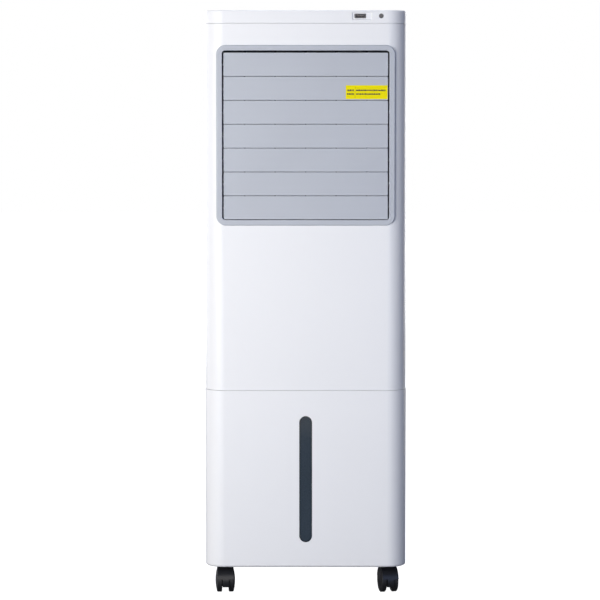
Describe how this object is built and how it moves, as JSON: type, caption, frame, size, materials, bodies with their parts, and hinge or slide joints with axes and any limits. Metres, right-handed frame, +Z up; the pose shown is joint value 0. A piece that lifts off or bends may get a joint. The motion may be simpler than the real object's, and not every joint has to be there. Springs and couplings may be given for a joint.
{
  "type": "tower evaporative cooler",
  "caption": "Upright evaporative air cooler with louvred outlet, rear pad intake, lower water tank with level window, and swivel casters.",
  "frame": {"origin": "on the floor under the middle of the body", "axes": "+Z up, -Y towards the air outlet at the front, +X to the right seen from the front"},
  "size_m": [0.328, 0.3248, 0.95],
  "materials": {
    "white_plastic": "satin white with a cool tint",
    "grey_plastic": "fine satin, blue-grey",
    "window_plastic": "smoked clear plastic, polished",
    "dark_plastic": "black nylon, satin",
    "black_gloss": "black, polished",
    "inner_plastic": "unpolished moulded white",
    "float_plastic": "dark, satin",
    "motor_steel": "plated steel can",
    "steel": "zinc-plated",
    "contact_metal": "plated shell",
    "board_green": "solder mask",
    "rubber": "soft grey",
    "hose_rubber": "translucent silicone look",
    "pad_fibre": "corrugated fibre honeycomb",
    "filter_mesh": "fine dark mesh"
  },
  "bodies": {
    "cabinet": {"tank": "white_plastic", "tank_window": "window_plastic", "base_deck": "inner_plastic", "pump": "black_gloss", "water_hose": "hose_rubber", "water_distributor": "inner_plastic", "front_panel": "white_plastic", "rear_housing": "white_plastic", "top_cover": "white_plastic", "housing_screws": "steel", "power_inlet": "dark_plastic", "outlet_bezel": "grey_plastic", "louvre_motor": "motor_steel", "outlet_duct": "inner_plastic", "vane_motor": "motor_steel", "blower_scroll": "inner_plastic", "fan_motor": "motor_steel", "control_panel": "black_gloss", "display_window": "black_gloss", "control_board": "board_green", "usb_socket": "contact_metal", "remote_receiver": "black_gloss", "caster_stems": "steel"},
    "level_float": {"level_float": "float_plastic"},
    "drain_plug": {"drain_plug": "rubber"},
    "filler_door": {"filler_door": "white_plastic"},
    "blower_wheel": {"blower_wheel": "dark_plastic"},
    "intake_cassette": {"intake_grille": "grey_plastic", "cooling_pad": "pad_fibre", "dust_filter": "filter_mesh"},
    "louvre_link": {"louvre_link": "inner_plastic"},
    "louvre_crank": {"louvre_crank": "inner_plastic"},
    "vane_link": {"vane_link": "inner_plastic"},
    "louvre_1": {"louvre_1": "grey_plastic"},
    "louvre_2": {"louvre_2": "grey_plastic"},
    "louvre_3": {"louvre_3": "grey_plastic"},
    "louvre_4": {"louvre_4": "grey_plastic"},
    "louvre_5": {"louvre_5": "grey_plastic"},
    "louvre_6": {"louvre_6": "grey_plastic"},
    "louvre_7": {"louvre_7": "grey_plastic"},
    "vane_1": {"vane_1": "dark_plastic"},
    "vane_2": {"vane_2": "dark_plastic"},
    "vane_3": {"vane_3": "dark_plastic"},
    "vane_4": {"vane_4": "dark_plastic"},
    "vane_5": {"vane_5": "dark_plastic"},
    "power_button": {"power_button": "grey_plastic"},
    "speed_button": {"speed_button": "grey_plastic"},
    "cool_button": {"cool_button": "grey_plastic"},
    "swing_button": {"swing_button": "grey_plastic"},
    "timer_button": {"timer_button": "grey_plastic"},
    "caster_front_left": {"caster_hood_front_left": "dark_plastic"},
    "wheels_front_left": {"caster_wheels_front_left": "dark_plastic"},
    "caster_front_right": {"caster_hood_front_right": "dark_plastic"},
    "wheels_front_right": {"caster_wheels_front_right": "dark_plastic"},
    "caster_rear_left": {"caster_hood_rear_left": "dark_plastic"},
    "wheels_rear_left": {"caster_wheels_rear_left": "dark_plastic"},
    "caster_rear_right": {"caster_hood_rear_right": "dark_plastic"},
    "wheels_rear_right": {"caster_wheels_rear_right": "dark_plastic"}
  },
  "joints": [
    {"name": "float_rise", "type": "slide", "parent": "cabinet", "child": "level_float", "axis": [0, 0, 1], "range_m": [0, 0.19]},
    {"name": "drain_plug_pull", "type": "slide", "parent": "cabinet", "child": "drain_plug", "axis": [0, 1, 0], "range_m": [0, 0.03]},
    {"name": "filler_door_hinge", "type": "hinge", "parent": "cabinet", "child": "filler_door", "pos_m": [0, 0.157, 0.2644], "axis": [-1, 0, 0], "range_deg": [0, 50]},
    {"name": "cassette_pull", "type": "slide", "parent": "cabinet", "child": "intake_cassette", "axis": [0, 1, 0], "range_m": [0, 0.06]},
    {"name": "blower_spin", "type": "hinge", "parent": "cabinet", "child": "blower_wheel", "pos_m": [0, -0.066, 0.472], "axis": [0, 1, 0], "continuous": true},
    {"name": "louvre_1_tilt", "type": "hinge", "parent": "cabinet", "child": "louvre_1", "pos_m": [0, -0.1495, 0.86305], "axis": [-1, 0, 0], "range_deg": [0, 85]},
    {"name": "louvre_2_tilt", "type": "hinge", "parent": "cabinet", "child": "louvre_2", "pos_m": [0, -0.1495, 0.82465], "axis": [-1, 0, 0], "range_deg": [0, 85]},
    {"name": "louvre_3_tilt", "type": "hinge", "parent": "cabinet", "child": "louvre_3", "pos_m": [0, -0.1495, 0.78625], "axis": [-1, 0, 0], "range_deg": [0, 85]},
    {"name": "louvre_4_tilt", "type": "hinge", "parent": "cabinet", "child": "louvre_4", "pos_m": [0, -0.1495, 0.74785], "axis": [-1, 0, 0], "range_deg": [0, 85]},
    {"name": "louvre_5_tilt", "type": "hinge", "parent": "cabinet", "child": "louvre_5", "pos_m": [0, -0.1495, 0.70945], "axis": [-1, 0, 0], "range_deg": [0, 85]},
    {"name": "louvre_6_tilt", "type": "hinge", "parent": "cabinet", "child": "louvre_6", "pos_m": [0, -0.1495, 0.67105], "axis": [-1, 0, 0], "range_deg": [0, 85]},
    {"name": "louvre_7_tilt", "type": "hinge", "parent": "cabinet", "child": "louvre_7", "pos_m": [0, -0.1495, 0.63265], "axis": [-1, 0, 0], "range_deg": [0, 85]},
    {"name": "louvre_link_pivot", "type": "hinge", "parent": "louvre_1", "child": "louvre_link", "pos_m": [0.14, -0.1375, 0.86305], "axis": [-1, 0, 0], "range_deg": [-85, 0]},
    {"name": "louvre_crank_turn", "type": "hinge", "parent": "cabinet", "child": "louvre_crank", "pos_m": [0.1424, -0.1185, 0.74785], "axis": [-1, 0, 0], "range_deg": [0, 85]},
    {"name": "vane_1_swing", "type": "hinge", "parent": "cabinet", "child": "vane_1", "pos_m": [-0.1, -0.095, 0.609], "axis": [0, 0, 1], "range_deg": [-35, 35]},
    {"name": "vane_2_swing", "type": "hinge", "parent": "cabinet", "child": "vane_2", "pos_m": [-0.05, -0.095, 0.609], "axis": [0, 0, 1], "range_deg": [-35, 35]},
    {"name": "vane_3_swing", "type": "hinge", "parent": "cabinet", "child": "vane_3", "pos_m": [0, -0.095, 0.609], "axis": [0, 0, 1], "range_deg": [-35, 35]},
    {"name": "vane_4_swing", "type": "hinge", "parent": "cabinet", "child": "vane_4", "pos_m": [0.05, -0.095, 0.609], "axis": [0, 0, 1], "range_deg": [-35, 35]},
    {"name": "vane_5_swing", "type": "hinge", "parent": "cabinet", "child": "vane_5", "pos_m": [0.1, -0.095, 0.609], "axis": [0, 0, 1], "range_deg": [-35, 35]},
    {"name": "vane_link_pivot", "type": "hinge", "parent": "vane_1", "child": "vane_link", "pos_m": [-0.1, -0.107, 0.6062], "axis": [0, 0, 1], "range_deg": [-35, 35]},
    {"name": "power_button_press", "type": "slide", "parent": "cabinet", "child": "power_button", "axis": [0, 0, -1], "range_m": [0, 0.0012], "stiffness_N_per_m": 400},
    {"name": "speed_button_press", "type": "slide", "parent": "cabinet", "child": "speed_button", "axis": [0, 0, -1], "range_m": [0, 0.0012], "stiffness_N_per_m": 400},
    {"name": "cool_button_press", "type": "slide", "parent": "cabinet", "child": "cool_button", "axis": [0, 0, -1], "range_m": [0, 0.0012], "stiffness_N_per_m": 400},
    {"name": "swing_button_press", "type": "slide", "parent": "cabinet", "child": "swing_button", "axis": [0, 0, -1], "range_m": [0, 0.0012], "stiffness_N_per_m": 400},
    {"name": "timer_button_press", "type": "slide", "parent": "cabinet", "child": "timer_button", "axis": [0, 0, -1], "range_m": [0, 0.0012], "stiffness_N_per_m": 400},
    {"name": "swivel_front_left", "type": "hinge", "parent": "cabinet", "child": "caster_front_left", "pos_m": [-0.133, -0.115, 0.0462], "axis": [0, 0, 1], "continuous": true},
    {"name": "roll_front_left", "type": "hinge", "parent": "caster_front_left", "child": "wheels_front_left", "pos_m": [-0.13216, -0.12697, 0.02], "axis": [0.9976, 0.0698, 0], "continuous": true},
    {"name": "swivel_front_right", "type": "hinge", "parent": "cabinet", "child": "caster_front_right", "pos_m": [0.133, -0.115, 0.0462], "axis": [0, 0, 1], "continuous": true},
    {"name": "roll_front_right", "type": "hinge", "parent": "caster_front_right", "child": "wheels_front_right", "pos_m": [0.13529, -0.12678, 0.02], "axis": [0.9816, 0.1908, 0], "continuous": true},
    {"name": "swivel_rear_left", "type": "hinge", "parent": "cabinet", "child": "caster_rear_left", "pos_m": [-0.133, 0.115, 0.0462], "axis": [0, 0, 1], "continuous": true},
    {"name": "roll_rear_left", "type": "hinge", "parent": "caster_rear_left", "child": "wheels_rear_left", "pos_m": [-0.13051, 0.12674, 0.02], "axis": [-0.9781, 0.2079, 0], "continuous": true},
    {"name": "swivel_rear_right", "type": "hinge", "parent": "cabinet", "child": "caster_rear_right", "pos_m": [0.133, 0.115, 0.0462], "axis": [0, 0, 1], "continuous": true},
    {"name": "roll_rear_right", "type": "hinge", "parent": "caster_rear_right", "child": "wheels_rear_right", "pos_m": [0.12737, 0.1256, 0.02], "axis": [-0.8829, -0.4695, 0], "continuous": true}
  ],
  "couplings": [
    {"joint": "louvre_2_tilt", "follows": "louvre_1_tilt", "ratio": 1},
    {"joint": "louvre_3_tilt", "follows": "louvre_1_tilt", "ratio": 1},
    {"joint": "louvre_4_tilt", "follows": "louvre_1_tilt", "ratio": 1},
    {"joint": "louvre_5_tilt", "follows": "louvre_1_tilt", "ratio": 1},
    {"joint": "louvre_6_tilt", "follows": "louvre_1_tilt", "ratio": 1},
    {"joint": "louvre_7_tilt", "follows": "louvre_1_tilt", "ratio": 1},
    {"joint": "louvre_link_pivot", "follows": "louvre_1_tilt", "ratio": -1},
    {"joint": "louvre_crank_turn", "follows": "louvre_1_tilt", "ratio": 1},
    {"joint": "vane_2_swing", "follows": "vane_1_swing", "ratio": 1},
    {"joint": "vane_3_swing", "follows": "vane_1_swing", "ratio": 1},
    {"joint": "vane_4_swing", "follows": "vane_1_swing", "ratio": 1},
    {"joint": "vane_5_swing", "follows": "vane_1_swing", "ratio": 1},
    {"joint": "vane_link_pivot", "follows": "vane_1_swing", "ratio": -1}
  ]
}
